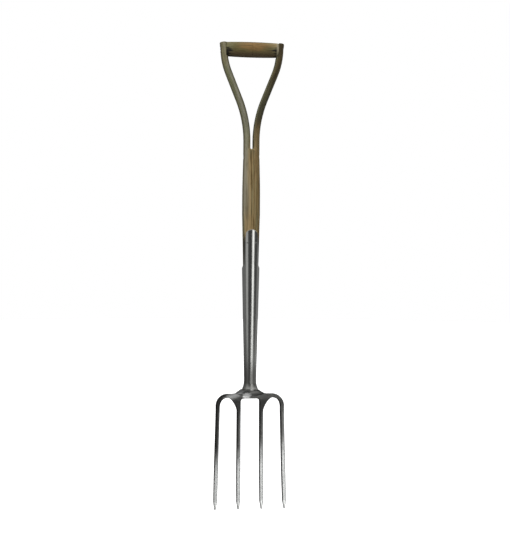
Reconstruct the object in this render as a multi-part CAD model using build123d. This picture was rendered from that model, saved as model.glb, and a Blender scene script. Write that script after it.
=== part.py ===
from build123d import *

# Digging fork: a forged head with four tines, a strapped steel socket, and an ash shaft whose top is split
# and bent into the two arms of a Y, with a turned grip between them.
#
# The origin is on the shaft's axis, in the plane that the four tine tips touch. +Z runs up the shaft, +X is
# to the right, and the front, towards which the tines lean, faces -Y. All sizes are in millimetres.

import os
from math import cos, radians, sin, sqrt, tan

# -------------------------------------------------------------------------------------------- driving sizes

# Tines
tine_reach = 222.4              # tips to the underside of the crown, between the inner tines
inner_tine_x = 22.8             # centre of an inner tine at the crown
tine_gap = 34.4                 # clear width between an inner and an outer tine at the crown
inner_tine_splay = 0.7          # how much further out an inner tine's tip stands
outer_tine_splay = 5.0          # the same for an outer tine
tine_lean = 7.0                 # how far the tips stand in front of the shaft's axis
tine_root_width = 8.1
head_depth = 11.5               # front to back, of the crown and of the tines where they leave it
tine_low_z = 60.0               # height above the tips where the tines are widest
tine_low_width = 8.5
tine_low_depth = 8.0
point_length = 16.0             # the taper at the end of each tine
point_root_width = 7.8
point_root_depth = 6.4
point_width = 3.0               # the blunt end of the point
point_depth = 2.6
tine_edge_r = 2.0               # rounding along the edges of the tines and the crown

# Crown
crown_height = 9.4              # thickness of the crown above the gap between the inner tines
crown_rise = 7.8                # how far the crown climbs from its arms to the seat of the socket
crown_slope_run = 19.3          # how far that slope reaches sideways
crown_slope_angle = 26.0        # degrees from level, where the slope starts
shoulder_r = 24.0               # outer bend from the crown into an outer tine
middle_gap_r = 6.0              # corners of the gap between the inner tines
side_gap_lift = 1.8             # how much higher the side gaps reach than the middle one
side_gap_peak = 0.53            # where they are highest, as a share of the way to the outer tine
web_drop = 27.0                 # height of the curved web that runs down onto an inner tine
web_top_ease = 7.0              # length over which the web leaves the crown
web_foot_ease = 8.0             # length over which it meets the tine
heel_drop = 21.0                # the same three sizes on the outer tine's side
heel_top_ease = 10.0
heel_foot_ease = 13.0
boss_margin = 0.7               # the boss under the socket stands this far in front of the socket's foot
boss_spread = 1.9               # how many times wider than deep the boss is
boss_rim = 4.0                  # height of the boss's straight edge
boss_depth = 13.0               # height of the whole boss
seat_margin = 1.0               # flat of the crown outside the socket's foot
spigot_length = 25.0            # peg on the crown, inside the foot of the socket
spigot_edge = 1.5               # chamfer at its top

# Socket
socket_wall = 1.8
socket_waist_r = 12.4          # outside, at the narrowest place, above the foot
socket_taper = 1.31             # degrees from the axis
foot_height = 22.0              # seat to the waist
foot_r = 15.9                   # rim of the flared foot
foot_rim = 3.4                  # height of the rim's edge
foot_edge = 0.6                 # chamfer below it
flare_knee = 7.0                # sharpest place of the flare, above the rim
socket_closed = 246.4           # seat to the bottom of the notches at the sides
strap_length = 77.0             # bottom of the notches to the tops of the straps
strap_end_rise = 16.0           # height of the rounded end of a strap
side_notch = 19.8               # width of the notches between the straps, at their round feet
notch_flare = 3.7               # degrees from the axis: each side of a notch leans outwards
strap_edge_r = 0.9              # rounding of the straps' outer edges
strap_rivet_r = 2.5
strap_rivet_head_r = 4.2
strap_rivet_sink = 1.0          # how deep a rivet's head is let into a strap
strap_rivet_from_top = 27.0     # upper rivet, below the tops of the straps
strap_rivet_pitch = 34.0        # upper rivet to lower rivet

# Shaft
shaft_r = 18.0
wood_foot_gap = 20.0            # empty space between the spigot and the foot of the wood
wood_foot_edge = 1.0
parallel_top = 67.0             # tops of the straps to the top of the parallel length
neck_r = 16.35                  # at the foot of the split
grip_above_straps = 361.6       # tops of the straps to the centre of the grip

# Y handle
split_gap = 6.2                 # width of the split at its foot
split_lead = 17.0               # straight length of the split, before the arms bend
arm_out_r = 226.0               # inner face of an arm, bending outwards
arm_out_angle = 22.0            # degrees from the shaft's axis
arm_back_r = 132.0              # inner face of an arm, bending back
arm_top_angle = 5.0             # degrees from the shaft's axis, at the grip
arm_top_run = 7.7               # straight length of an arm below the centre of the grip
arm_edge_r = 4.5                # rounding of the arms' inner edges
arm_above_grip = 12.5           # centre of the grip to the tops of the arms
arm_top_r = 0.8                 # rounding of the arms' tops

# Grip
grip_length = 106.0             # between its seats in the arms
grip_r = 15.4                   # at the middle of the barrel
grip_end_r = 14.2
grip_end_round = 1.2
grip_line_width = 1.0           # the turned line round the middle
grip_line_depth = 0.5
seat_depth = 2.2                # how deep an arm is cut back at the grip's centre

# Rivets across the handle: one through the arms and the grip, one just below the split
cross_rivet_r = 2.5
cross_rivet_head_r = 4.2
cross_rivet_head = 1.6          # height of the domed heads
washer_r = 5.5
washer_thickness = 1.2
head_recess = 0.1               # top of a head, below the wood's surface
throat_rivet_drop = 15.0        # below the split

# Clearances
fit = 0.05                      # radial: a rivet in its hole, the spigot in the foot of the socket
wood_fit = 0.2                  # radial: the wood in the socket
washer_fit = 0.3                # radial: a washer in its recess
seat_clearance = 0.4            # below the grip's end, at the ledge of its seat in an arm

# -------------------------------------------------------------------------------------------- shared places

outer_tine_x = inner_tine_x + tine_gap + tine_root_width
side_gap_top_z = tine_reach + side_gap_lift
tine_root_z = side_gap_top_z - web_drop
crown_top_z = tine_reach + crown_height
seat_z = crown_top_z + crown_rise
waist_z = seat_z + foot_height
notch_z = seat_z + socket_closed
strap_top_z = notch_z + strap_length
socket_bore_r = socket_waist_r - socket_wall
wood_foot_z = seat_z + spigot_length + wood_foot_gap
parallel_top_z = strap_top_z + parallel_top
grip_z = strap_top_z + grip_above_straps
arm_top_z = grip_z + arm_above_grip
seat_x = grip_length / 2
strap_rivet_top_z = strap_top_z - strap_rivet_from_top
strap_rivet_heights = {"upper": strap_rivet_top_z, "lower": strap_rivet_top_z - strap_rivet_pitch}
beyond = 5.0                    # how far a cutting body reaches past what it cuts
near = 0.01                     # places this close to each other count as the same place
wall_share = 0.4                # a rounding takes at most this share of the thickness beside it


def socket_r(z):
    """Outside radius of the socket's cone at a height above the waist."""
    return socket_waist_r + (z - waist_z) * tan(radians(socket_taper))


def wood_r(z):
    """Radius of the tapered foot of the shaft, inside the socket's wall."""
    return socket_r(z) - socket_wall - wood_fit


# Where the taper of the foot meets the parallel length of the shaft.
parallel_foot_z = waist_z + (shaft_r + socket_wall + wood_fit - socket_waist_r) / tan(radians(socket_taper))

# The inner face of an arm, from the foot of the split up, is straight, bends outwards, runs straight, bends
# back and ends straight. The slanting run is as long as the grip needs it, and the split starts below the
# first bend.
out_angle = radians(arm_out_angle)
top_angle = radians(arm_top_angle)
split_x = split_gap / 2
arm_thickness = neck_r - split_x
arm_face_x = seat_x - seat_depth
out_bend_x = arm_out_r * (1 - cos(out_angle))
out_bend_z = arm_out_r * sin(out_angle)
back_bend_x = arm_back_r * (cos(top_angle) - cos(out_angle))
back_bend_z = arm_back_r * (sin(out_angle) - sin(top_angle))
slant_x = arm_face_x - split_x - out_bend_x - back_bend_x - arm_top_run * sin(top_angle)
slant_z = slant_x / tan(out_angle)
bend_z = grip_z - arm_top_run * cos(top_angle) - back_bend_z - slant_z - out_bend_z
split_z = bend_z - split_lead
split_foot_z = split_z + split_x
throat_rivet_z = split_z - throat_rivet_drop

# Floors of the recesses for the washers, measured from the middle of the fork.
recess_depth = washer_thickness + cross_rivet_head + head_recess
grip_recess_x = arm_face_x + arm_thickness / cos(top_angle) - recess_depth
throat_recess_x = neck_r - recess_depth


# -------------------------------------------------------------------------------------------------- helpers

upwards = (Align.CENTER, Align.CENTER, Align.MIN)


def path(*points):
    """Straight lines from point to point."""
    lines = [Line(start, end) for start, end in zip(points, points[1:])]
    return sum(lines[1:], lines[0])


def turned(outline, axis=Axis.Z):
    """The solid that a closed outline, drawn in the XZ plane, sweeps round an axis."""
    return revolve(Plane.XZ * make_face(outline), axis)


def rod_along_x(radius, length):
    return Rot(0, 90, 0) * Cylinder(radius, length)


def rod_along_y(radius, length):
    return Rot(90, 0, 0) * Cylinder(radius, length)


def both_sides(right_half):
    return right_half + mirror(right_half, Plane.YZ)


def one_solid(name, shape):
    """The shape's only solid. A piece that has come apart stops the build."""
    solids = shape.solids()
    if len(solids) != 1:
        raise ValueError(f"{name}: {len(solids)} solids where one was expected")
    return solids[0]


# ------------------------------------------------------------------------------------------------ fork head

def tine_section(root_x, splay, z):
    """A tine's rounded section at a height: it widens slightly and thins from the crown down to the point."""
    if z >= tine_low_z:
        share = (tine_root_z - z) / (tine_root_z - tine_low_z)
        width = tine_root_width + share * (tine_low_width - tine_root_width)
        depth = head_depth + share * (tine_low_depth - head_depth)
    else:
        share = (tine_low_z - z) / (tine_low_z - point_length)
        width = tine_low_width + share * (point_root_width - tine_low_width)
        depth = tine_low_depth + share * (point_root_depth - tine_low_depth)
    down = 1 - z / tine_root_z
    edge_r = min(tine_edge_r, wall_share * width, wall_share * depth)
    return Pos(root_x + splay * down, -tine_lean * down ** 2, z) * RectangleRounded(width, depth, edge_r)


def tine(root_x, splay):
    """A tine below the crown, with its point."""
    middle_z = (tine_root_z + tine_low_z) / 2
    sections = [tine_section(root_x, splay, z) for z in (tine_root_z, middle_z, tine_low_z, point_length)]
    tip_r = wall_share * min(point_width, point_depth)
    tip = Pos(root_x + splay, -tine_lean, 0) * RectangleRounded(point_width, point_depth, tip_r)
    return loft(sections) + loft([sections[-1], tip], ruled=True)


def crown_half():
    """The right half of the crown with the stubs of two tines, as a face seen from the front."""
    inner_in = inner_tine_x - tine_root_width / 2
    inner_out = inner_tine_x + tine_root_width / 2
    outer_in = outer_tine_x - tine_root_width / 2
    outer_out = outer_tine_x + tine_root_width / 2
    peak_x = inner_out + side_gap_peak * tine_gap
    heel_z = side_gap_top_z - heel_drop
    seat_edge = foot_r + seat_margin
    slope_end = seat_edge + crown_slope_run
    slope_start = (cos(radians(crown_slope_angle)), -sin(radians(crown_slope_angle)))
    shoulder = (outer_out - shoulder_r, crown_top_z)
    shoulder_end = (outer_out, crown_top_z - shoulder_r)
    gap_corner = (inner_in, tine_reach - middle_gap_r)
    gap_top = (inner_in - middle_gap_r, tine_reach)
    outline = (
        path((0, tine_reach), (0, seat_z), (seat_edge, seat_z))
        + Spline((seat_edge, seat_z), (slope_end, crown_top_z), tangents=[slope_start, (1, 0)])
        + path((slope_end, crown_top_z), shoulder)
        + RadiusArc(shoulder, shoulder_end, shoulder_r)
        + path(shoulder_end, (outer_out, tine_root_z), (outer_in, tine_root_z), (outer_in, heel_z))
        + Bezier((outer_in, heel_z), (outer_in, heel_z + heel_foot_ease),
                 (peak_x + heel_top_ease, side_gap_top_z), (peak_x, side_gap_top_z))
        + Bezier((peak_x, side_gap_top_z), (peak_x - web_top_ease, side_gap_top_z),
                 (inner_out, tine_root_z + web_foot_ease), (inner_out, tine_root_z))
        + path((inner_out, tine_root_z), (inner_in, tine_root_z), gap_corner)
        + RadiusArc(gap_corner, gap_top, -middle_gap_r)
        + path(gap_top, (0, tine_reach))
    )
    return Plane.XZ * make_face(outline)


def crown():
    """The crown with the stubs of the four tines: one outline, cut to its depth, with rounded edges."""
    plate = both_sides(extrude(crown_half(), head_depth / 2, both=True))
    long_edges = [
        edge for edge in plate.edges()
        if abs(abs(edge.center().Y) - head_depth / 2) < near
        and tine_root_z + near < edge.center().Z < seat_z - near
    ]
    return fillet(long_edges, min(tine_edge_r, wall_share * head_depth, wall_share * tine_root_width))


def boss():
    """The swelling of the crown under the socket: a bowl, drawn out sideways, under the crown's top line."""
    boss_r = foot_r + boss_margin
    rim_z = seat_z - boss_rim
    curve = EllipticalCenterArc((0, rim_z), boss_r, boss_depth - boss_rim, start_angle=270, arc_size=90)
    bowl = turned(curve + path((boss_r, rim_z), (boss_r, seat_z), (0, seat_z), (0, seat_z - boss_depth)))
    swelling = scale(bowl, by=(boss_spread, 1, 1))
    return swelling & both_sides(extrude(crown_half(), 2 * boss_r, both=True))


def fork_head():
    """One forging: the crown with the boss and the spigot that carry the socket, and the four tines."""
    spigot_r = socket_bore_r - fit
    spigot = Pos(0, 0, seat_z) * Cylinder(spigot_r, spigot_length, align=upwards)
    spigot = chamfer(spigot.edges().sort_by(Axis.Z)[-1], spigot_edge)
    tines = tine(inner_tine_x, inner_tine_splay) + tine(outer_tine_x, outer_tine_splay)
    return crown() + boss() + spigot + both_sides(tines)


# --------------------------------------------------------------------------------------------------- socket

def strap_rivet(z, clearance=0.0):
    """A rivet from front to back through the straps, with flat heads let into them, not yet ground flush."""
    pin_r = strap_rivet_r + clearance
    head_r = strap_rivet_head_r + clearance
    seat = socket_r(z) - strap_rivet_sink - clearance
    end = seat + beyond
    outline = path((0, -end), (head_r, -end), (head_r, -seat), (pin_r, -seat), (pin_r, seat),
                   (head_r, seat), (head_r, end), (0, end), (0, -end))
    return Pos(0, 0, z) * Rot(90, 0, 0) * turned(outline)


def on_cone(point):
    """Whether a point lies on the outside of the socket's cone."""
    return abs(sqrt(point.X ** 2 + point.Y ** 2) - socket_r(point.Z)) < near


def socket_outside():
    """The socket's outer shape as a solid, from its seat to above the straps."""
    rim_z = seat_z + foot_rim
    knee_z = rim_z + flare_knee
    top_z = strap_top_z + beyond
    flare = Bezier((foot_r, rim_z), (socket_r(knee_z), knee_z), (socket_waist_r, waist_z))
    below = path((0, seat_z), (foot_r - foot_edge, seat_z), (foot_r, seat_z + foot_edge), (foot_r, rim_z))
    above = path((socket_waist_r, waist_z), (socket_r(top_z), top_z), (0, top_z), (0, seat_z))
    return turned(below + flare + above)


def notch_half_width(z):
    """Half the width of a notch at a height above its round foot."""
    flare = radians(notch_flare)
    notch_r = side_notch / 2
    return notch_r / cos(flare) + (z - notch_z - notch_r) * tan(flare)


def side_notches(top_z):
    """The body that cuts both notches between the straps: round at the foot, wider towards the top."""
    notch_r = side_notch / 2
    side_x = notch_r * cos(radians(notch_flare))
    side_z = notch_z + notch_r - notch_r * sin(radians(notch_flare))
    top_x = notch_half_width(top_z)
    outline = path((side_x, side_z), (top_x, top_z), (-top_x, top_z), (-side_x, side_z))
    outline += ThreePointArc((-side_x, side_z), (0, notch_z), (side_x, side_z))
    return extrude(Plane.YZ * make_face(outline), 2 * shaft_r, both=True)


def socket():
    """Closed cone with a flared foot below, and two straps with rounded ends above."""
    top_z = strap_top_z + 2 * beyond
    bottom_z = seat_z - beyond
    inside = turned(path((0, bottom_z), (socket_bore_r, bottom_z), (socket_bore_r, waist_z),
                         (socket_r(top_z) - socket_wall, top_z), (0, top_z), (0, bottom_z)))
    end_z = strap_top_z - strap_end_rise
    half_width = sqrt(socket_r(strap_top_z) ** 2 - notch_half_width(end_z) ** 2)
    wide = half_width + beyond
    end = EllipticalCenterArc((0, end_z), half_width, strap_end_rise, start_angle=0, arc_size=180)
    end += path((-half_width, end_z), (-wide, end_z), (-wide, top_z), (wide, top_z), (wide, end_z),
                (half_width, end_z))
    above_straps = extrude(Plane.XZ * make_face(end), 2 * shaft_r, both=True)
    shell = socket_outside() - inside - side_notches(top_z) - above_straps
    outer_edges = [
        edge for edge in shell.edges()
        if edge.center().Z > notch_z and all(on_cone(edge @ share) for share in (0.1, 0.5, 0.9))
    ]
    shell = fillet(outer_edges, min(strap_edge_r, socket_wall / 2))
    for z in strap_rivet_heights.values():
        shell -= strap_rivet(z, fit)
    return shell


# ---------------------------------------------------------------------------------------------------- shaft

def arm():
    """The right-hand arm: the half of the shaft beside the split, bent out and back along its inner face."""
    half = Circle(neck_r) & Pos(split_x + neck_r, 0) * Rectangle(2 * neck_r, 4 * neck_r)
    bend_start = (split_x, bend_z)
    bend_end = (split_x + out_bend_x, bend_z + out_bend_z)
    back_start = (bend_end[0] + slant_x, bend_end[1] + slant_z)
    back_end = (back_start[0] + back_bend_x, back_start[1] + back_bend_z)
    past_top = arm_top_z - back_end[1] + neck_r * sin(top_angle) + beyond
    route = (
        path((split_x, split_foot_z), bend_start)
        + RadiusArc(bend_start, bend_end, arm_out_r)
        + path(bend_end, back_start)
        + RadiusArc(back_start, back_end, -arm_back_r)
        + path(back_end, (back_end[0] + past_top * tan(top_angle), back_end[1] + past_top))
    )
    bent = sweep(Pos(0, 0, split_foot_z) * half, path=Plane.XZ * route)
    return bent - Pos(0, 0, arm_top_z) * Box(4 * seat_x, 4 * neck_r, 2 * past_top, align=upwards)


def cross_hole(z, recess_x):
    """The hole for a rivet across the handle, with a recess for a washer and a head at each end."""
    outer = 2 * neck_r
    recess = Pos(recess_x + outer / 2, 0, z) * rod_along_x(washer_r + washer_fit, outer)
    return Pos(0, 0, z) * rod_along_x(cross_rivet_r + fit, 2 * recess_x + outer) + both_sides(recess)


def shaft():
    """One length of ash: tapered foot, parallel middle, narrower neck, and the two arms above the split."""
    foot = path((0, wood_foot_z), (wood_r(wood_foot_z) - wood_foot_edge, wood_foot_z),
                (wood_r(wood_foot_z + wood_foot_edge), wood_foot_z + wood_foot_edge),
                (shaft_r, parallel_foot_z), (shaft_r, parallel_top_z))
    neck = Spline((shaft_r, parallel_top_z), (neck_r, split_foot_z), tangents=[(0, 1), (0, 1)])
    wood = turned(foot + neck + path((neck_r, split_foot_z), (0, split_foot_z), (0, wood_foot_z)))
    wood -= Pos(0, 0, split_foot_z) * rod_along_y(split_x, 4 * neck_r)
    wood += both_sides(arm())
    corner_y = sqrt(neck_r ** 2 - split_x ** 2)
    inner_edges = [
        edge for edge in wood.edges()
        if abs(edge.center().Y) > corner_y - near and edge.center().Z > split_z
    ]
    wood = fillet(inner_edges, min(arm_edge_r, wall_share * arm_thickness))
    wood = fillet(wood.edges().group_by(Axis.Z)[-1], min(arm_top_r, wall_share * arm_thickness))
    ledge_z = grip_z - grip_end_r - seat_clearance
    wood -= Pos(0, 0, ledge_z) * Box(2 * seat_x, 4 * neck_r, arm_top_z - ledge_z + beyond, align=upwards)
    wood -= cross_hole(grip_z, grip_recess_x) + cross_hole(throat_rivet_z, throat_recess_x)
    for z in strap_rivet_heights.values():
        wood -= strap_rivet(z, fit)
    return wood


# ----------------------------------------------------------------------------------------------------- grip

def grip():
    """A turned barrel between the arms, bored for its rivet, with a fine line round its middle."""
    left = (-seat_x, grip_end_r)
    right = (seat_x, grip_end_r)
    swell = ThreePointArc(left, (0, grip_r), right)
    barrel = turned(swell + path(right, (seat_x, 0), (-seat_x, 0), left), Axis.X)
    rings = barrel.edges().group_by(Axis.X)
    barrel = fillet(rings[0] + rings[-1], grip_end_round)
    half_line = grip_line_width / 2
    outside_r = grip_r + beyond
    barrel -= turned(path((-half_line, outside_r), (-half_line, grip_r), (0, grip_r - grip_line_depth),
                          (half_line, grip_r), (half_line, outside_r), (-half_line, outside_r)), Axis.X)
    return Pos(0, 0, grip_z) * (barrel - rod_along_x(cross_rivet_r + fit, 2 * grip_length))


# --------------------------------------------------------------------------------------- rivets and washers

def cross_rivet(recess_x):
    """A rivet along X with two domed heads, each over the washer in its recess."""
    shoulder = recess_x + washer_thickness
    crest = shoulder + cross_rivet_head
    dome_r = (cross_rivet_head_r ** 2 + cross_rivet_head ** 2) / (2 * cross_rivet_head)
    rim = (cross_rivet_head_r, shoulder)
    pin = path((0, crest), (0, 0), (cross_rivet_r, 0), (cross_rivet_r, shoulder), rim)
    half = turned(pin + RadiusArc(rim, (0, crest), -dome_r))
    return both_sides(Rot(0, 90, 0) * half)


def washer(recess_x):
    """The washer in the right-hand recess of a rivet across the handle."""
    ring = Cylinder(washer_r, washer_thickness, align=upwards)
    ring -= Cylinder(cross_rivet_r + fit, washer_thickness, align=upwards)
    return Pos(recess_x, 0, 0) * Rot(0, 90, 0) * ring


# ------------------------------------------------------------------------------------------------- assembly

def pieces():
    """Every piece of the fork by name, in its place."""
    outside = socket_outside()
    grip_washer = Pos(0, 0, grip_z) * washer(grip_recess_x)
    throat_washer = Pos(0, 0, throat_rivet_z) * washer(throat_recess_x)
    named = {
        "fork_head": fork_head(),
        "socket": socket(),
        "shaft": shaft(),
        "grip": grip(),
        "grip_rivet": Pos(0, 0, grip_z) * cross_rivet(grip_recess_x),
        "grip_washer_right": grip_washer,
        "grip_washer_left": mirror(grip_washer, Plane.YZ),
        "throat_rivet": Pos(0, 0, throat_rivet_z) * cross_rivet(throat_recess_x),
        "throat_washer_right": throat_washer,
        "throat_washer_left": mirror(throat_washer, Plane.YZ),
    }
    for place, z in strap_rivet_heights.items():
        named[f"strap_rivet_{place}"] = strap_rivet(z) & outside
    return named


def main():
    os.makedirs("parts", exist_ok=True)
    for name, shape in pieces().items():
        export_step(one_solid(name, shape), f"parts/{name}.step")


main()
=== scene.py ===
"""Digging fork: the finish of its wood and steel, and a plain studio to see it in.

Laid out as an add-on and run as a script. Lengths are in metres, in the frame of the CAD model.
"""

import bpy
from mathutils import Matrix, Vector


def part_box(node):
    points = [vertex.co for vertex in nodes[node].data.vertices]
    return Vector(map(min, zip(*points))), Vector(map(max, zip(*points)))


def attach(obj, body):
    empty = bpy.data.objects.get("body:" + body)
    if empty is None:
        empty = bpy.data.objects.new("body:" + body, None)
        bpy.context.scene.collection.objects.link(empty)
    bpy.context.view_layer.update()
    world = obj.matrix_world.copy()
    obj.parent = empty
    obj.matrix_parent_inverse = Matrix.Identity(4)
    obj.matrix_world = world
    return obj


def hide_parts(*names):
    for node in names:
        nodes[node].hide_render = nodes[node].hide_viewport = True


bl_info = {
    "name": "Digging Fork",
    "version": (1, 0, 0),
    "blender": (4, 5, 0),
    "location": "3D View > Sidebar > Fork",
    "description": "Finishes the wood and the steel of a digging fork and sets it in a plain studio",
    "category": "Object",
}

from collections import namedtuple
from math import cos, pi, radians, sin

import bpy
from bpy.props import FloatProperty, FloatVectorProperty, PointerProperty
from mathutils import Matrix, Vector

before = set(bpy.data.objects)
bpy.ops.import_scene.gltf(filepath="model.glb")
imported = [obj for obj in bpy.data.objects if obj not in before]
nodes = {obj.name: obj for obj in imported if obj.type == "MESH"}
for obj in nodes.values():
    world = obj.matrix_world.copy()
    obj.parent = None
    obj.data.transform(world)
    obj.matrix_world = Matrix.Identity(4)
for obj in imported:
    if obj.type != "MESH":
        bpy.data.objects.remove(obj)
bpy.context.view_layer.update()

socket_low, socket_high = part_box("socket")
shaft_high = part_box("shaft")[1]
grip_low, grip_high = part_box("grip")
grip_z = (grip_low.z + grip_high.z) / 2


# ------------------------------------------------------------------------------------- shader helpers

# A soft-edged oval on the front and the back. rise is how much it climbs for each step to the right
Spot = namedtuple("Spot", "x z half_width half_height rise", defaults=(0.0,))
SPOT_EDGE = (0.4, 1.3)  # where a spot starts to fade and where it is gone, in its own half widths

NOISE_MIDDLE = 0.5


class ShaderTree:
    """Adds nodes to an empty node tree and links them as they are named."""

    def __init__(self, tree):
        self.tree = tree
        self.tree.nodes.clear()

    def node(self, kind, *inputs, **settings):
        """A node with its settings and its first inputs, each a value, an output or None."""
        made = self.tree.nodes.new(kind)
        for name, value in settings.items():
            setattr(made, name, value)
        for socket, value in zip(made.inputs, inputs):
            self.feed(socket, value)
        return made

    def feed(self, socket, value):
        """Links an output to an input, or sets the input's value. A colour may leave out its alpha."""
        if isinstance(value, bpy.types.NodeSocket):
            self.tree.links.new(value, socket)
        elif value is not None:
            socket.default_value = (*value, 1.0) if socket.type == "RGBA" and len(value) == 3 else value

    def feed_all(self, node, **values):
        """Feeds inputs by name, with _ for a space."""
        for name, value in values.items():
            self.feed(node.inputs[name.replace("_", " ")], value)
        return node

    def math(self, operation, *inputs):
        return self.node("ShaderNodeMath", *inputs, operation=operation).outputs[0]

    def plus(self, first, second):
        return self.math("ADD", first, second)

    def minus(self, first, second):
        return self.math("SUBTRACT", first, second)

    def times(self, first, second):
        return self.math("MULTIPLY", first, second)

    def split(self, vector):
        """The three parts of a vector."""
        return self.node("ShaderNodeSeparateXYZ", vector).outputs

    def place(self):
        """Object coordinates."""
        return self.node("ShaderNodeTexCoord").outputs["Object"]

    def normal_x(self):
        """How far the surface faces right, from -1 to 1."""
        return self.split(self.node("ShaderNodeNewGeometry").outputs["Normal"])[0]

    def mix(self, share, first, second):
        """A colour between two, from the first at 0 to the second at 1."""
        made = self.node("ShaderNodeMix", data_type="RGBA", blend_type="MIX")
        for socket, value in zip((made.inputs[0], made.inputs[6], made.inputs[7]), (share, first, second)):
            self.feed(socket, value)
        return made.outputs[2]

    def fade(self, value, low, high, to_low, to_high):
        """A smooth step from one value to another as the input goes from low to high."""
        made = self.node("ShaderNodeMapRange", value, low, high, to_low, to_high)
        made.interpolation_type = "SMOOTHSTEP"
        return made.outputs[0]

    def rise(self, value, low, high, amount=1.0):
        """From 0 to an amount as the input goes from low to high."""
        return self.fade(value, low, high, 0.0, amount)

    def fall(self, value, low, high, amount=1.0):
        """From an amount to 0 as the input goes from low to high."""
        return self.fade(value, low, high, amount, 0.0)

    def noise(self, vector, scale, detail=3.0, roughness=0.55):
        made = self.node("ShaderNodeTexNoise")
        return self.feed_all(made, Vector=vector, Scale=scale, Detail=detail, Roughness=roughness).outputs[0]

    def stretched(self, vector, scale):
        made = self.node("ShaderNodeMapping")
        return self.feed_all(made, Vector=vector, Scale=scale).outputs[0]

    def grain(self, vector, scale, detail=3.0, roughness=0.6):
        """Noise drawn out by a scale of its own along each axis."""
        return self.noise(self.stretched(vector, scale), 1.0, detail, roughness)

    def wander(self, noise, amount):
        """Noise as a push to either side of 0."""
        return self.times(self.minus(noise, NOISE_MIDDLE), amount)

    def spot(self, x, z, spot, wander):
        """A spot, from 1 in its middle to 0, whose outline is pushed about by noise."""
        sideways = self.minus(x, spot.x)
        upwards = self.minus(self.minus(z, spot.z), self.times(sideways, spot.rise))
        across = self.math("DIVIDE", sideways, spot.half_width)
        up = self.math("DIVIDE", upwards, spot.half_height)
        away = self.math("SQRT", self.plus(self.times(across, across), self.times(up, up)))
        return self.fall(self.plus(away, wander), *SPOT_EDGE)

    def bumps(self, height, strength, distance):
        made = self.node("ShaderNodeBump")
        return self.feed_all(made, Strength=strength, Distance=distance, Height=height).outputs[0]

    def ramp(self, value, stops):
        """A ramp through stops, each a place from 0 to 1 and a grey level."""
        made = self.node("ShaderNodeValToRGB", value)
        elements = made.color_ramp.elements
        for _ in range(len(stops) - len(elements)):
            elements.new(1.0)
        for element, (place, level) in zip(elements, stops):
            element.position = place
            element.color = (level, level, level, 1.0)
        return made.outputs[0]


def new_material(name):
    """A material with an empty tree and its shader linked to the output."""
    material = bpy.data.materials.new(name)
    material.use_nodes = True
    tree = ShaderTree(material.node_tree)
    shader = tree.node("ShaderNodeBsdfPrincipled")
    tree.node("ShaderNodeOutputMaterial", shader.outputs[0])
    return material, tree, shader


def dress(piece, material):
    """Gives every face of a piece one material."""
    piece.data.materials.clear()
    piece.data.materials.append(material)


# ------------------------------------------------------------------------------------------- the wood

WOOD_SHINE = 0.2
WOOD_RELIEF = 0.0003  # depth of the grain
RELIEF_STRENGTH = 0.3

# Noise scales, per metre: twice across the fibres, then along them
FINE_GRAIN = (900.0, 900.0, 14.0)
BROAD_GRAIN = (150.0, 150.0, 5.0)
PORES = (2600.0, 2600.0, 60.0)
PATCHES = (90.0, 90.0, 7.0)
MOTTLE = (330.0, 330.0, 26.0)
RING_WANDER = (60.0, 60.0, 4.0)
# The same for the grip, whose fibres run to the right
GRIP_FINE_GRAIN = (40.0, 1000.0, 1000.0)
GRIP_BROAD_GRAIN = (32.0, 140.0, 140.0)
GRIP_STREAKS = (45.0, 330.0, 330.0)

PITH = (0.031, 0.047, 0.0)  # outside the shaft
PITH_SCALE = (1.0, 1.0, 0.018)  # the rings lean a little along the shaft
RING_TONES = [(0.0, 0.1), (0.55, 0.25), (0.86, 1.0), (1.0, 0.1)]  # across one ring, and dark at 1

# Bands across the shaft
BLEACHED_SIDE = (-0.011, -0.004)
SHADED_SIDE = (0.005, 0.015)
ARM_PARTING = (-0.002, 0.004)
# where the painted shade on the outward-facing sides eases from full on the left to half on the right
SIDE_SHADE_PARTING = (-0.01, 0.01)
# Bands above the foot of the split
ARM_START = (-0.03, 0.05)
PALE_FOOT_LEFT = (0.02, 0.07)
PALE_FOOT_RIGHT = (0.03, 0.06)
DAMP_START = (0.036, 0.08)
# Bands above or below the middle of the grip
PALE_TOP = (-0.045, -0.02)
DAMP_END = (-0.10, -0.03)
# Bands above or below the tops of the straps
BLEACHED_START = (0.005, 0.06)
# darker wood beside the straps and just above them
BESIDE_STRAPS = (-0.022, 0.002)

# The grip: bands above or below its middle, and across it from its ends
# painted shade on the grip's lower half
SHADED_UNDERSIDE = (-0.008, 0.002)
# the upper half, which takes painted light towards the right end
LIT_UPPER_HALF = (0.0, 0.006)
CREST = (0.0125, 0.0150)
CREST_LEFT = (-0.03, 0.0)
# the lower half, where the painted shade at the ends lies
LEDGE = (-0.001, 0.004)
# from here to the right end, painted light on the upper half
LIT_END_FROM = 0.022
# a painted highlight round the right end, standing in for the lit inner face of the right arm
LIT_RIM = (-0.0055, -0.0035)
# Shares of the grip's half length
DULL_ENDS = (0.85, 1.05)
# painted shade, in the near black of the dirt, in the grip's lower corners
CORNERS = (0.74, 0.88)

# Steps that take the bend out of the arms, and how far inside the split and the tops they start and end
BEND_STEPS = 8
BEND_LOW_EASE = 0.004
BEND_HIGH_EASE = 0.002
RAY_EASE = 0.01  # a ray starts this far below the grip


def cast(start, direction):
    """Where a ray from a point first meets the shaft."""
    found, place, _, _ = nodes["shaft"].ray_cast(Vector(start), Vector(direction))
    if not found:
        raise ValueError(f"the shaft isn't met from {start} along {direction}")
    return place


def split_foot_z():
    """Height of the foot of the split between the arms."""
    return cast((0, 0, grip_low.z - RAY_EASE), (0, 0, -1)).z


def arm_face_x(z):
    """How far an arm's inner face stands from the middle of the shaft at a height."""
    return cast((0, 0, z), (1, 0, 0)).x


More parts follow.
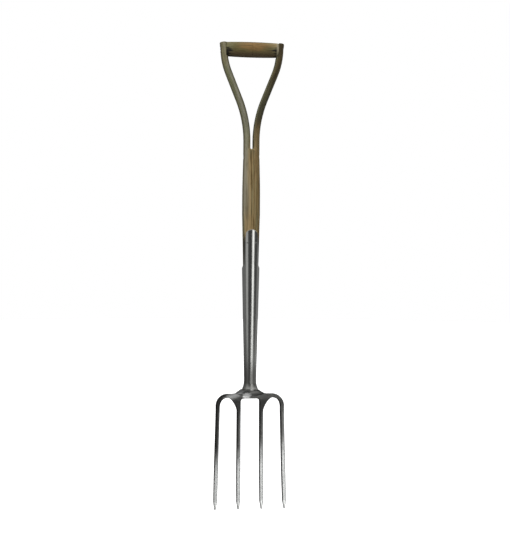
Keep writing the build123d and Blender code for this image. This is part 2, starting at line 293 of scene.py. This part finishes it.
def fibre_place(tree):
    """Object coordinates with the bend of the arms taken out, so that the grain follows each arm."""
    place = tree.place()
    x, y, z = tree.split(place)
    low, high = split_foot_z() + BEND_LOW_EASE, shaft_high.z - BEND_HIGH_EASE
    start, widest = arm_face_x(low), arm_face_x(high)
    share = tree.node("ShaderNodeMapRange", z, low, high, 0.0, 1.0).outputs[0]
    curve = tree.node("ShaderNodeFloatCurve")
    tree.feed(curve.inputs["Value"], share)
    points = curve.mapping.curves[0].points
    for _ in range(BEND_STEPS - 1):
        points.new(0.5, 0.5)
    for step, point in enumerate(points):
        part = step / BEND_STEPS
        point.location = (part, (arm_face_x(low + part * (high - low)) - start) / (widest - start))
    curve.mapping.update()
    bend = tree.times(curve.outputs[0], widest - start)
    across = tree.minus(x, tree.times(bend, tree.math("SIGN", x)))
    return tree.node("ShaderNodeCombineXYZ", across, y, z).outputs[0], (x, y, z)


class FORK_PG_wood(bpy.types.PropertyGroup):
    ash_light: FloatVectorProperty(name="Ash, early wood", description="Colour of the pale grain",
                                   subtype="COLOR", default=(0.47, 0.33, 0.15))
    ash_dark: FloatVectorProperty(name="Ash, late wood", description="Colour of the dark grain lines",
                                  subtype="COLOR", default=(0.135, 0.09, 0.026))
    ash_olive: FloatVectorProperty(name="Weathered ash", description="Grey-green of the weathered wood",
                                   subtype="COLOR", default=(0.29, 0.29, 0.16))
    ash_grey: FloatVectorProperty(name="Bleached ash", description="Grey of the bleached wood on the left",
                                  subtype="COLOR", default=(0.40, 0.38, 0.29))
    # Painted shade: this dark olive brown darkens the sides that face outwards and the left arm's inner edge
    side_shade: FloatVectorProperty(name="Flanks", description="Dark olive brown of the wood's sides",
                               subtype="COLOR", default=(0.058, 0.047, 0.022))
    arm_brown: FloatVectorProperty(name="Handled ash", description="Brown of the much handled right arm",
                                   subtype="COLOR", default=(0.15, 0.108, 0.042))
    arm_green: FloatVectorProperty(name="Handled ash, damp", description="Green brown of the right arm",
                                   subtype="COLOR", default=(0.125, 0.121, 0.064))
    # Rubbed orange brown of the grip's middle, also a painted highlight on its upper half
    grip_rubbed_and_lit: FloatVectorProperty(name="Grip, rubbed", description="Orange brown of the rubbed middle",
                                   subtype="COLOR", default=(0.33, 0.195, 0.068))
    grip_olive: FloatVectorProperty(name="Grip, weathered", description="Olive brown of the grip",
                                    subtype="COLOR", default=(0.20, 0.165, 0.062))
    # Painted highlight at the grip's right end, standing in for the lit inner face of the right arm
    rim_highlight: FloatVectorProperty(name="Grip, pale rim", description="Bare wood at the right end of the grip",
                                  subtype="COLOR", default=(0.40, 0.35, 0.23))
    # Painted shade: purple brown on the grip's lower half
    grip_underside_shade: FloatVectorProperty(name="Grip, underside", description="Purple brown of the underside",
                                    subtype="COLOR", default=(0.145, 0.095, 0.06))
    # Near black of the dirt in the open grain, also used as painted shade in the grip's lower corners
    grime_and_shade: FloatVectorProperty(name="Grime", description="Near black of the dirt in corners and open grain",
                               subtype="COLOR", default=(0.028, 0.023, 0.016))
    # Darker colour of the wood beside the straps and just above them
    dark_beside_straps: FloatVectorProperty(name="Iron stain", description="Blue black of the wood beside the straps",
                                    subtype="COLOR", default=(0.055, 0.056, 0.052))
    ring: FloatProperty(name="Ring spacing", description="Distance between growth rings",
                        subtype="DISTANCE", default=0.0026, min=0.0005, max=0.01)


def growth_rings(tree, fibres, spacing):
    """Late wood from 0 to 1, in rings round the pith."""
    from_pith = tree.node("ShaderNodeVectorMath", fibres, PITH, operation="SUBTRACT").outputs[0]
    flat = tree.stretched(from_pith, PITH_SCALE)
    distance = tree.node("ShaderNodeVectorMath", flat, operation="LENGTH").outputs["Value"]
    wander = tree.times(tree.grain(fibres, RING_WANDER, 2.0), 1.6)
    rings = tree.plus(tree.math("DIVIDE", distance, spacing), wander)
    return tree.ramp(tree.math("FRACT", rings), RING_TONES)


def shaft_wood(tree, fibres, x, z, late, broad, settings):
    """The shaft's colour: bleached on the left, olive in patches and darker on the right."""
    colour = tree.mix(late, settings.ash_light, settings.ash_dark)
    olive = tree.mix(tree.times(late, 0.7), settings.ash_olive, settings.ash_dark)
    patches = tree.rise(tree.grain(fibres, PATCHES, 2.0), 0.5, 0.66, 0.8)
    colour = tree.mix(patches, colour, olive)
    drift = tree.plus(x, tree.wander(broad, 0.012))
    pale = tree.mix(tree.times(late, 0.5), settings.ash_grey, settings.ash_dark)
    start = tree.fade(tree.minus(z, socket_high.z), *BLEACHED_START, 0.15, 1.0)
    bleached = tree.times(tree.fall(drift, *BLEACHED_SIDE, 0.85), start)
    colour = tree.mix(bleached, colour, pale)
    return tree.mix(tree.rise(drift, *SHADED_SIDE, 0.35), colour, settings.ash_dark)


def left_arm_wood(tree, above_split, above_grip, outward, mottle, broad, settings):
    """The left arm's colour: olive and grey, with painted shade on its inner edge."""
    colour = tree.mix(tree.rise(broad, 0.38, 0.56), settings.ash_olive, settings.ash_grey)
    colour = tree.mix(tree.times(mottle, 0.6), colour, settings.arm_green)
    colour = tree.mix(tree.rise(above_grip, *PALE_TOP, 0.2), colour, settings.ash_light)
    colour = tree.mix(tree.fall(above_split, *PALE_FOOT_LEFT, 0.6), colour, settings.ash_olive)
    # painted shade on the inner edge, which faces the middle
    return tree.mix(tree.fall(outward, -0.7, -0.15, 0.75), colour, settings.side_shade)


def right_arm_wood(tree, above_split, above_grip, outward, mottle, settings):
    """The right arm's colour: brown, green brown along its middle, with a painted highlight on its inner
    edge.
    """
    colour = tree.mix(tree.times(mottle, 0.6), settings.arm_brown, settings.grime_and_shade)
    green = tree.mix(tree.times(mottle, 0.5), settings.arm_green, settings.grime_and_shade)
    damp = tree.times(tree.fade(above_grip, *DAMP_END, 0.9, 0.1), tree.rise(above_split, *DAMP_START))
    colour = tree.mix(damp, colour, green)
    colour = tree.mix(tree.fall(above_split, *PALE_FOOT_RIGHT, 0.3), colour, settings.ash_light)
    # painted highlight on the inner edge, which faces the light from the left
    return tree.mix(tree.fall(outward, -0.9, -0.4, 0.5), colour, settings.ash_olive)


def ash_material(settings):
    material, tree, shader = new_material("weathered_ash")
    fibres, (x, _, z) = fibre_place(tree)
    outward = tree.times(tree.normal_x(), tree.math("SIGN", x))
    above_split = tree.minus(z, split_foot_z())
    above_grip = tree.minus(z, grip_z)
    fine = tree.grain(fibres, FINE_GRAIN, 2.0, 0.55)
    broad = tree.grain(fibres, BROAD_GRAIN)
    mottle = tree.rise(tree.grain(fibres, MOTTLE, 4.0), 0.36, 0.62)
    pores = tree.rise(tree.grain(fibres, PORES, 1.0), 0.64, 0.7)
    rings = tree.times(growth_rings(tree, fibres, settings.ring), 0.45)
    lines = tree.plus(tree.plus(rings, tree.times(fine, 1.1)), tree.times(broad, 0.6))
    late = tree.rise(lines, 0.84, 1.3)

    shaft = shaft_wood(tree, fibres, x, z, late, broad, settings)
    left_arm = left_arm_wood(tree, above_split, above_grip, outward, mottle, broad, settings)
    right_arm = right_arm_wood(tree, above_split, above_grip, outward, mottle, settings)
    arms = tree.mix(tree.rise(x, *ARM_PARTING), left_arm, right_arm)
    colour = tree.mix(tree.rise(above_split, *ARM_START), shaft, arms)
    # darker wood beside the straps and just above them
    edge = tree.plus(tree.minus(z, socket_high.z), tree.times(fine, 0.012))
    colour = tree.mix(tree.fall(edge, *BESIDE_STRAPS), colour, settings.dark_beside_straps)
    # painted shade on the sides that face outwards, full on the left and half on the right
    side_shade_mask = tree.times(tree.rise(outward, 0.78, 0.98, 0.7), tree.fade(x, *SIDE_SHADE_PARTING, 1.0, 0.5))
    colour = tree.mix(side_shade_mask, colour, settings.side_shade)
    colour = tree.mix(tree.times(pores, 0.7), colour, settings.grime_and_shade)

    height = tree.minus(1.0, tree.plus(late, pores))
    tree.feed_all(shader, Base_Color=colour, Roughness=tree.fade(late, 0.0, 1.0, 0.45, 0.62),
                  Normal=tree.bumps(height, RELIEF_STRENGTH, WOOD_RELIEF))
    shader.inputs["Specular IOR Level"].default_value = WOOD_SHINE
    return material


def grip_material(settings):
    material, tree, shader = new_material("turned_grip_wood")
    place = tree.place()
    x, _, z = tree.split(place)
    away = tree.math("ABSOLUTE", x)
    above = tree.minus(z, grip_z)
    half_length = grip_high.x
    broad = tree.grain(place, GRIP_BROAD_GRAIN)
    fine = tree.grain(place, GRIP_FINE_GRAIN, 3.0, 0.65)
    streaks = tree.rise(tree.grain(place, GRIP_STREAKS, 3.0), 0.48, 0.64)

    # rubbed orange brown with a painted highlight, on the upper middle of the grip
    rubbed = tree.spot(x, above, Spot(0.002, 0.005, half_length * 0.6, 0.012), tree.wander(broad, 1.4))
    colour = tree.mix(rubbed, settings.grip_olive, settings.grip_rubbed_and_lit)
    colour = tree.mix(tree.times(streaks, 0.6), colour, settings.arm_brown)
    dull, end = (half_length * part for part in DULL_ENDS)
    ends = tree.rise(tree.plus(away, tree.times(broad, 0.02)), dull, end, 0.35)
    colour = tree.mix(ends, colour, settings.ash_olive)
    # painted light on the upper half towards the right end
    lit_right_end = tree.times(tree.rise(x, LIT_END_FROM, half_length, 0.6), tree.rise(above, *LIT_UPPER_HALF))
    colour = tree.mix(lit_right_end, colour, settings.ash_light)
    # painted shade on the lower half of the grip
    underside_shade = tree.fall(tree.plus(above, tree.times(broad, 0.008)), *SHADED_UNDERSIDE, 0.75)
    colour = tree.mix(underside_shade, colour, settings.grip_underside_shade)

    # painted shade, in the near black of the dirt, in the lower corners at both ends
    low = tree.fall(tree.minus(above, tree.wander(streaks, 0.006)), *LEDGE)
    painted_light_and_marks, end = (half_length * part for part in CORNERS)
    corners = tree.times(tree.rise(tree.plus(away, tree.wander(streaks, 0.008)), painted_light_and_marks, end), low)
    colour = tree.mix(corners, colour, settings.grime_and_shade)
    crest = tree.times(tree.rise(above, *CREST, 0.85), tree.rise(x, *CREST_LEFT))
    colour = tree.mix(crest, colour, settings.grime_and_shade)
    colour = tree.mix(tree.rise(fine, 0.52, 0.75, 0.55), colour, settings.grime_and_shade)
    # painted highlight round the right end
    rim_highlight_mask = tree.rise(tree.minus(x, half_length), *LIT_RIM)
    colour = tree.mix(rim_highlight_mask, colour, settings.rim_highlight)

    tree.feed_all(shader, Base_Color=colour, Roughness=tree.fade(broad, 0.3, 0.7, 0.4, 0.55),
                  Normal=tree.bumps(fine, RELIEF_STRENGTH, WOOD_RELIEF))
    shader.inputs["Specular IOR Level"].default_value = WOOD_SHINE
    return material


class FORK_OT_finish_shaft(bpy.types.Operator):
    """Gives the shaft its ash, with the grain running up into both arms"""
    bl_idname = "fork.finish_shaft"
    bl_label = "Finish Shaft"

    def execute(self, context):
        dress(nodes["shaft"], ash_material(context.scene.fork_wood))
        return {"FINISHED"}


class FORK_OT_finish_grip(bpy.types.Operator):
    """Gives the grip its darker turned wood, rubbed in the middle, with a painted highlight above and painted
    shade below
    """
    bl_idname = "fork.finish_grip"
    bl_label = "Finish Grip"

    def execute(self, context):
        dress(nodes["grip"], grip_material(context.scene.fork_wood))
        return {"FINISHED"}


# ------------------------------------------------------------------------------------------- the steel

# What counts as the round outside of the socket and of the rivets in its straps
LEAST_ROUND = 0.5  # cosine of the most that a face is turned from straight outwards
MOST_LEAN = 0.1  # faces leaning less than this stand on the socket's cone
CONE_LEAN = -0.023  # upward part of the cone's normal, as the socket widens upwards

# Noise scales, per metre. The drawn-out ones are twice across the tool, then along it
POLISHING_MARKS = (1500.0, 1500.0, 30.0)
POLISH_CLOUD = (70.0, 70.0, 25.0)
SPECKS = 900.0
GRINDING_LINES = (700.0, 700.0, 9.0)
FORGE_MOTTLE = 210.0
FORGE_CLOUD = 60.0
RIVET_STAIN = 500.0

# Bands above the foot of the socket, or below it with a minus
DULL_SOCKET = (0.045, 0.085)
BRIGHT_FOOT = (0.014, 0.032)
SCALED_FROM = (-0.09, -0.04)
SCALED_TO = (-0.024, -0.012)
LIT_BEND_TOP = (-0.05, -0.02)
# Bands across the head, which lie in the bends of the outer tines
SCALED_BEND = (-0.052, -0.042)
LIT_BEND = (0.052, 0.062)
# Bands above the tips of the tines
GROUND_TOP = (0.095, 0.158)
GROUND_SLANT = 0.25  # how much higher the grinding reaches for each step to the right
SMUDGED_TIPS = (0.0, 0.013)

# Places on the crown, their heights above the foot of the socket: a rubbed patch and a scuff, with painted
# highlights on the upper left shoulder and on the left slope below the socket
RUBBED_PATCH = Spot(-0.008, -0.0105, 0.008, 0.0068)
LIT_SHOULDER = Spot(-0.030, -0.008, 0.023, 0.0085, 0.42)
LIT_SLOPE = Spot(-0.021, -0.0035, 0.011, 0.005, 0.5)
SCUFF = Spot(0.008, -0.008, 0.02, 0.008)

# The middle line of each tine: where it stands at its root, and how much further out its tip is
INNER_TINE_X, INNER_SPLAY = 0.0228, 0.0007
OUTER_TINE_X, OUTER_SPLAY = 0.0653, 0.0050
TINE_ROOT_Z = 0.1972
TINE_ROOT_EASE = 0.01
TINE_HALF_WIDTH = 0.0042


class FORK_PG_steel(bpy.types.PropertyGroup):
    polished: FloatVectorProperty(name="Polished steel", description="Colour of the polished socket",
                                  subtype="COLOR", default=(0.62, 0.625, 0.60))
    dulled: FloatVectorProperty(name="Dulled steel", description="Colour of the socket's unpolished foot",
                                subtype="COLOR", default=(0.30, 0.30, 0.285))
    # Also painted as shade on the left edge of each lower tine
    forged: FloatVectorProperty(name="Forged steel", description="Colour of the dark crown",
                                subtype="COLOR", default=(0.12, 0.12, 0.115))
    # Also painted as shade on the left half of each tine
    scale: FloatVectorProperty(name="Mill scale", description="Near black of the scale in the bends and webs",
                               subtype="COLOR", default=(0.045, 0.045, 0.043))
    scuffed: FloatVectorProperty(name="Scuffed steel", description="Colour of the lighter mottling",
                                 subtype="COLOR", default=(0.22, 0.22, 0.21))
    rubbed: FloatVectorProperty(name="Rubbed steel", description="Colour of the brightest patch on the crown",
                                subtype="COLOR", default=(0.97, 0.97, 0.96))
    # Also painted as highlights: on the right half of each tine and on the crown's left shoulder and slope
    ground: FloatVectorProperty(name="Ground steel", description="Colour of the bright lower tines",
                                subtype="COLOR", default=(0.72, 0.73, 0.72))


def along_ground(vector):
    """A vector's part along the ground, at unit length."""
    return Vector((vector.x, vector.y, 0.0)).normalized()


def true_round(node_name):
    """A copy of a CAD piece whose upright outside shades as a true cone round the middle axis."""
    mesh = nodes[node_name].data.copy()
    piece = bpy.data.objects.new(f"{node_name}_round", mesh)
    bpy.context.scene.collection.objects.link(piece)
    normals = [corner.vector.copy() for corner in mesh.corner_normals]
    for face in mesh.polygons:
        if along_ground(face.normal).dot(along_ground(face.center)) < LEAST_ROUND:
            continue
        for corner in face.loop_indices:
            lean = CONE_LEAN if abs(face.normal.z) < MOST_LEAN else normals[corner].z
            outward = along_ground(mesh.vertices[mesh.loops[corner].vertex_index].co)
            normals[corner] = outward * (1.0 - lean * lean) ** 0.5 + Vector((0.0, 0.0, lean))
    mesh.normals_split_custom_set([tuple(normal) for normal in normals])
    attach(piece, "root")
    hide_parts(node_name)
    return piece


def polished_material(settings):
    material, tree, shader = new_material("polished_socket_steel")
    place = tree.place()
    above = tree.minus(tree.split(place)[2], socket_low.z)
    marks = tree.grain(place, POLISHING_MARKS, 3.0)
    cloud = tree.grain(place, POLISH_CLOUD, 4.0)
    specks = tree.rise(tree.noise(place, SPECKS, 2.0), 0.68, 0.76)
    edge = tree.plus(above, tree.times(cloud, 0.03))
    dull = tree.fall(edge, *DULL_SOCKET)
    colour = tree.mix(tree.rise(cloud, 0.4, 0.75, 0.25), settings.polished, settings.dulled)
    colour = tree.mix(dull, colour, settings.dulled)
    colour = tree.mix(tree.fall(edge, *BRIGHT_FOOT, 0.5), colour, settings.polished)
    colour = tree.mix(tree.times(specks, 0.5), colour, settings.forged)
    roughness = tree.plus(tree.fade(marks, 0.3, 0.7, 0.11, 0.19), tree.times(specks, 0.15))
    roughness = tree.plus(roughness, tree.times(dull, 0.2))
    tree.feed_all(shader, Base_Color=colour, Metallic=1.0, Roughness=roughness,
                  Normal=tree.bumps(tree.plus(marks, specks), 0.05, 0.00004))
    return material


def across_tine(tree, x, z):
    """Place across each tine, from about -1 at its left edge to 1 at its right, and 0 above the tines."""
    down = tree.fall(z, 0.0, TINE_ROOT_Z)
    away = tree.math("ABSOLUTE", x)
    outer = tree.math("GREATER_THAN", away, (INNER_TINE_X + OUTER_TINE_X) / 2)
    inner_middle = tree.plus(INNER_TINE_X, tree.times(down, INNER_SPLAY))
    outer_middle = tree.plus(OUTER_TINE_X, tree.times(down, OUTER_SPLAY))
    middle = tree.mix(outer, inner_middle, outer_middle)
    across = tree.math("DIVIDE", tree.minus(away, middle), TINE_HALF_WIDTH)
    on_tine = tree.fall(z, TINE_ROOT_Z - TINE_ROOT_EASE, TINE_ROOT_Z + TINE_ROOT_EASE)
    return tree.times(tree.times(across, tree.math("SIGN", x)), on_tine)


def crown_wear_and_highlights(tree, x, above, mottle):
    """The marked places of the crown, from 0 to 1: the rubbed patch; all bright places, which are the rubbed
    patch with painted highlights on the left shoulder and slope; and the scuffed one.
    """
    wander = tree.wander(mottle, 1.2)
    patch, shoulder, slope, scuff = (
        tree.spot(x, above, spot, wander) for spot in (RUBBED_PATCH, LIT_SHOULDER, LIT_SLOPE, SCUFF))
    bright = tree.math("MAXIMUM", tree.times(patch, 1.3), tree.times(shoulder, 0.6))
    bright = tree.math("MINIMUM", tree.math("MAXIMUM", bright, slope), 1.0)
    return patch, bright, scuff


def forged_material(settings):
    material, tree, shader = new_material("forged_head_steel")
    place = tree.place()
    x, _, z = tree.split(place)
    above = tree.minus(z, socket_low.z)
    across = across_tine(tree, x, z)
    mottle = tree.noise(place, FORGE_MOTTLE, 5.0, 0.6)
    cloud = tree.noise(place, FORGE_CLOUD, 3.0)
    lines = tree.grain(place, GRINDING_LINES, 2.0)
    patch, painted_light_and_marks, scuff = crown_wear_and_highlights(tree, x, above, mottle)

    dark = tree.mix(tree.rise(mottle, 0.45, 0.75), settings.forged, settings.scuffed)
    scaled = tree.times(tree.rise(above, *SCALED_FROM), tree.fall(above, *SCALED_TO, 0.8))
    scaled = tree.math("MAXIMUM", scaled, tree.fall(x, *SCALED_BEND, 0.95))
    dark = tree.mix(scaled, dark, settings.scale)
    lit = tree.times(tree.rise(x, *LIT_BEND, 0.7), tree.fade(above, *LIT_BEND_TOP, 1.0, 0.3))
    dark = tree.mix(lit, dark, settings.scuffed)
    # painted shade on the left half of each tine
    dark = tree.mix(tree.fall(across, -0.9, 0.1, 0.9), dark, settings.scale)
    # painted highlight on the right half of each tine
    dark = tree.mix(tree.rise(across, 0.0, 1.0, 0.5), dark, settings.ground)
    dark = tree.mix(tree.times(scuff, 0.5), dark, settings.scuffed)

    slanted = tree.plus(tree.minus(z, tree.times(x, GROUND_SLANT)), tree.times(cloud, 0.03))
    bright = tree.fall(slanted, *GROUND_TOP)
    ground = tree.mix(tree.rise(lines, 0.5, 0.8, 0.2), settings.ground, settings.scuffed)
    ground = tree.mix(tree.fall(z, *SMUDGED_TIPS, 0.6), ground, settings.scuffed)
    # painted shade on the left edge of each lower tine
    ground = tree.mix(tree.fall(across, -1.0, -0.55, 0.85), ground, settings.forged)
    # ground steel on the ground lower tines, and painted highlights on the crown's left shoulder and slope
    colour = tree.mix(tree.math("MAXIMUM", bright, painted_light_and_marks), dark, ground)
    colour = tree.mix(patch, colour, settings.rubbed)

    roughness = tree.minus(tree.fade(mottle, 0.3, 0.7, 0.3, 0.4), tree.times(bright, 0.1))
    height = tree.plus(tree.times(mottle, tree.minus(1.0, bright)), tree.times(lines, 0.04))
    tree.feed_all(shader, Base_Color=colour, Metallic=1.0, Roughness=roughness,
                  Normal=tree.bumps(height, 0.3, 0.0005))
    return material


def rivet_material(settings):
    material, tree, shader = new_material("rivet_steel")
    stain = tree.noise(tree.place(), RIVET_STAIN, 4.0)
    colour = tree.mix(tree.rise(stain, 0.4, 0.7), settings.dulled, settings.forged)
    tree.feed_all(shader, Base_Color=colour, Metallic=1.0, Roughness=tree.fade(stain, 0.3, 0.7, 0.28, 0.5),
                  Normal=tree.bumps(stain, 0.2, 0.0002))
    return material


class FORK_OT_finish_socket(bpy.types.Operator):
    """Polishes the socket and the rivets ground flush with it"""
    bl_idname = "fork.finish_socket"
    bl_label = "Finish Socket"

    def execute(self, context):
        material = polished_material(context.scene.fork_steel)
        for name in ("socket", "strap_rivet_upper", "strap_rivet_lower"):
            dress(true_round(name), material)
        return {"FINISHED"}


class FORK_OT_finish_head(bpy.types.Operator):
    """Gives the forged head its dark crown and the tines their bright lower halves"""
    bl_idname = "fork.finish_head"
    bl_label = "Finish Head"

    def execute(self, context):
        dress(nodes["fork_head"], forged_material(context.scene.fork_steel))
        return {"FINISHED"}


class FORK_OT_finish_rivets(bpy.types.Operator):
    """Gives the rivets and the washers of the handle their plain steel"""
    bl_idname = "fork.finish_rivets"
    bl_label = "Finish Rivets"

    def execute(self, context):
        material = rivet_material(context.scene.fork_steel)
        for name in nodes:
            if name.startswith(("grip_rivet", "grip_washer", "throat_")):
                dress(nodes[name], material)
        return {"FINISHED"}


# ------------------------------------------------------------------------------------------- the stage

SENSOR = 36.0  # mm, along the long side of the view
FAR_CLIP = 50.0
FLOOR_CORNERS = 96
WHITE = (1.0, 1.0, 1.0)
FLOOR_PAINT = (0.8, 0.8, 0.8)
FLOOR_GLOW = 0.8
FLOOR_ROUGHNESS = 0.5

# Brightness round the horizon as pairs of degrees and level, where 0 degrees is the front and 90 the right:
# what the steel mirrors from below, at and above its own height, and what lights the wood
LOW_BANDS = ((-180, 0.08), (-120, 0.06), (-60, 0.06), (-40, 0.1), (-2, 0.15), (4, 0.7), (9, 3.0), (12, 1.1),
             (20, 0.6), (60, 0.35), (80, 0.4), (110, 0.6), (150, 0.2), (180, 0.05))
LEVEL_BANDS = ((-180, 0.06), (-150, 0.12), (-120, 0.2), (-76, 0.18), (-69, 0.5), (-45, 0.5), (-38, 0.1),
               (-20, 0.06), (0, 0.05), (9, 0.15), (14, 0.8), (18, 1.5), (33, 1.5), (39, 0.5), (46, 0.07),
               (80, 0.07), (88, 0.24), (130, 0.25), (150, 0.12), (180, 0.06))
HIGH_BANDS = ((-180, 0.1), (-100, 0.25), (-50, 0.7), (0, 0.6), (40, 0.9), (110, 0.7), (150, 0.3), (180, 0.1))
BROAD_BANDS = ((-180, 0.2), (-120, 0.4), (-80, 0.95), (-45, 1.2), (0, 0.8), (45, 0.35), (90, 0.14),
               (140, 0.15), (180, 0.2))

# Where one of them gives way to the next, as the upward part of a direction, and what lies beyond them
LOW_TO_LEVEL = (-0.16, -0.12)
LEVEL_TO_HIGH = (0.25, 0.6)
MIRRORED_TOP, MIRRORED_TOP_GREY = (0.8, 0.97), (0.9, 0.9, 0.9)
MIRRORED_FOOT, MIRRORED_FOOT_GREY = (-0.7, -0.45), (0.4, 0.4, 0.4)
BROAD_TOP, BROAD_TOP_GREY = (0.2, 0.8), (1.1, 1.1, 1.1)
BROAD_FOOT, BROAD_FOOT_GREY = (-0.35, 0.05), (0.18, 0.18, 0.18)


class FORK_PG_stage(bpy.types.PropertyGroup):
    azimuth: FloatProperty(name="Azimuth", description="Where the camera stands round the fork",
                           subtype="ANGLE", default=radians(-6.73))
    distance: FloatProperty(name="Distance", description="From the camera to the shaft's axis",
                            subtype="DISTANCE", default=1.9667)
    height: FloatProperty(name="Height", description="Height of the camera",
                          subtype="DISTANCE", default=0.507)
    aim_x: FloatProperty(name="Aim across", description="Place across the fork at the middle of the view",
                         subtype="DISTANCE", default=0.00879)
    aim_z: FloatProperty(name="Aim height", description="Height at the middle of the view",
                         subtype="DISTANCE", default=0.48475)
    roll: FloatProperty(name="Roll", description="Turn of the camera about its own axis",
                        subtype="ANGLE", default=radians(0.339))
    lens: FloatProperty(name="Lens", description="Focal length in millimetres", default=65.36)
    floor_radius: FloatProperty(name="Floor", description="Radius of the floor",
                                subtype="DISTANCE", default=6.0)


def add_camera(settings):
    data = bpy.data.cameras.new("camera")
    data.lens = settings.lens
    data.sensor_width = SENSOR
    data.clip_end = FAR_CLIP
    camera = bpy.data.objects.new("camera", data)
    bpy.context.scene.collection.objects.link(camera)
    place = Vector((settings.distance * sin(settings.azimuth), -settings.distance * cos(settings.azimuth),
                    settings.height))
    look = Vector((settings.aim_x, 0.0, settings.aim_z)) - place
    turn = look.to_track_quat("-Z", "Y").to_matrix() @ Matrix.Rotation(settings.roll, 3, "Z")
    camera.matrix_world = Matrix.Translation(place) @ turn.to_4x4()
    bpy.context.scene.camera = camera


def add_floor(settings):
    """A pale floor that gives the fork neither light nor reflections."""
    bpy.ops.mesh.primitive_circle_add(vertices=FLOOR_CORNERS, radius=settings.floor_radius, fill_type="NGON")
    floor = bpy.context.active_object
    floor.name = "floor"
    material = bpy.data.materials.new("pale_floor")
    material.use_nodes = True
    tree = ShaderTree(material.node_tree)
    glow = tree.node("ShaderNodeEmission", WHITE, FLOOR_GLOW)
    paint = tree.node("ShaderNodeBsdfDiffuse", FLOOR_PAINT, FLOOR_ROUGHNESS)
    both = tree.node("ShaderNodeAddShader", glow.outputs[0], paint.outputs[0])
    tree.node("ShaderNodeOutputMaterial", both.outputs[0])
    floor.data.materials.append(material)
    floor.visible_glossy = False
    floor.visible_diffuse = False


def level_round(tree, turn, bands):
    """Brightness round the horizon, from bands of degrees and levels."""
    return tree.ramp(turn, [((degrees + 180) / 360, level) for degrees, level in bands])


def add_studio_light():
    """Soft light all round: upright bands, as from screens, for the steel and a broad light from the left."""
    world = bpy.data.worlds.new("studio")
    bpy.context.scene.world = world
    world.use_nodes = True
    tree = ShaderTree(world.node_tree)
    x, y, z = tree.split(tree.node("ShaderNodeTexCoord").outputs["Generated"])
    angle = tree.math("ARCTAN2", x, tree.times(y, -1.0))
    turn = tree.plus(tree.math("DIVIDE", angle, 2.0 * pi), 0.5)
    low, level, high, broad = (
        level_round(tree, turn, bands) for bands in (LOW_BANDS, LEVEL_BANDS, HIGH_BANDS, BROAD_BANDS))
    screens = tree.mix(tree.rise(z, *LOW_TO_LEVEL), low, level)
    screens = tree.mix(tree.rise(z, *LEVEL_TO_HIGH), screens, high)
    screens = tree.mix(tree.rise(z, *MIRRORED_TOP), screens, MIRRORED_TOP_GREY)
    screens = tree.mix(tree.fall(z, *MIRRORED_FOOT), screens, MIRRORED_FOOT_GREY)
    broad = tree.mix(tree.rise(z, *BROAD_TOP), broad, BROAD_TOP_GREY)
    broad = tree.mix(tree.fall(z, *BROAD_FOOT), broad, BROAD_FOOT_GREY)
    rays = tree.node("ShaderNodeLightPath").outputs
    light = tree.mix(rays["Is Diffuse Ray"], screens, broad)
    lit = tree.node("ShaderNodeBackground", light, 1.0)
    seen = tree.node("ShaderNodeBackground", WHITE, 1.0)
    both = tree.node("ShaderNodeMixShader", rays["Is Camera Ray"], lit.outputs[0], seen.outputs[0])
    tree.node("ShaderNodeOutputWorld", both.outputs[0])


class FORK_OT_build_stage(bpy.types.Operator):
    """Lays the pale floor and sets the soft light and the camera"""
    bl_idname = "fork.build_stage"
    bl_label = "Build Stage"

    def execute(self, context):
        settings = context.scene.fork_stage
        add_camera(settings)
        add_floor(settings)
        add_studio_light()
        context.scene.view_settings.view_transform = "Standard"
        return {"FINISHED"}


# --------------------------------------------------------------------------------------------- add-on

class FORK_PT_panel(bpy.types.Panel):
    """The fork's finishes, in order"""
    bl_idname = "FORK_PT_panel"
    bl_label = "Digging Fork"
    bl_space_type = "VIEW_3D"
    bl_region_type = "UI"
    bl_category = "Fork"

    def draw(self, context):
        for operator in OPERATORS:
            self.layout.operator(operator.bl_idname)


OPERATORS = (
    FORK_OT_build_stage,
    FORK_OT_finish_head,
    FORK_OT_finish_socket,
    FORK_OT_finish_shaft,
    FORK_OT_finish_grip,
    FORK_OT_finish_rivets,
)
GROUPS = {"fork_wood": FORK_PG_wood, "fork_steel": FORK_PG_steel, "fork_stage": FORK_PG_stage}


def register():
    for group in GROUPS.values():
        bpy.utils.register_class(group)
    for name, group in GROUPS.items():
        setattr(bpy.types.Scene, name, PointerProperty(type=group))
    for operator in OPERATORS:
        bpy.utils.register_class(operator)
    bpy.utils.register_class(FORK_PT_panel)


def unregister():
    bpy.utils.unregister_class(FORK_PT_panel)
    for operator in reversed(OPERATORS):
        bpy.utils.unregister_class(operator)
    for name, group in GROUPS.items():
        delattr(bpy.types.Scene, name)
        bpy.utils.unregister_class(group)


def main():
    register()
    bpy.ops.fork.build_stage()
    bpy.ops.fork.finish_head()
    bpy.ops.fork.finish_socket()
    bpy.ops.fork.finish_shaft()
    bpy.ops.fork.finish_grip()
    bpy.ops.fork.finish_rivets()


if __name__ == "__main__":
    main()
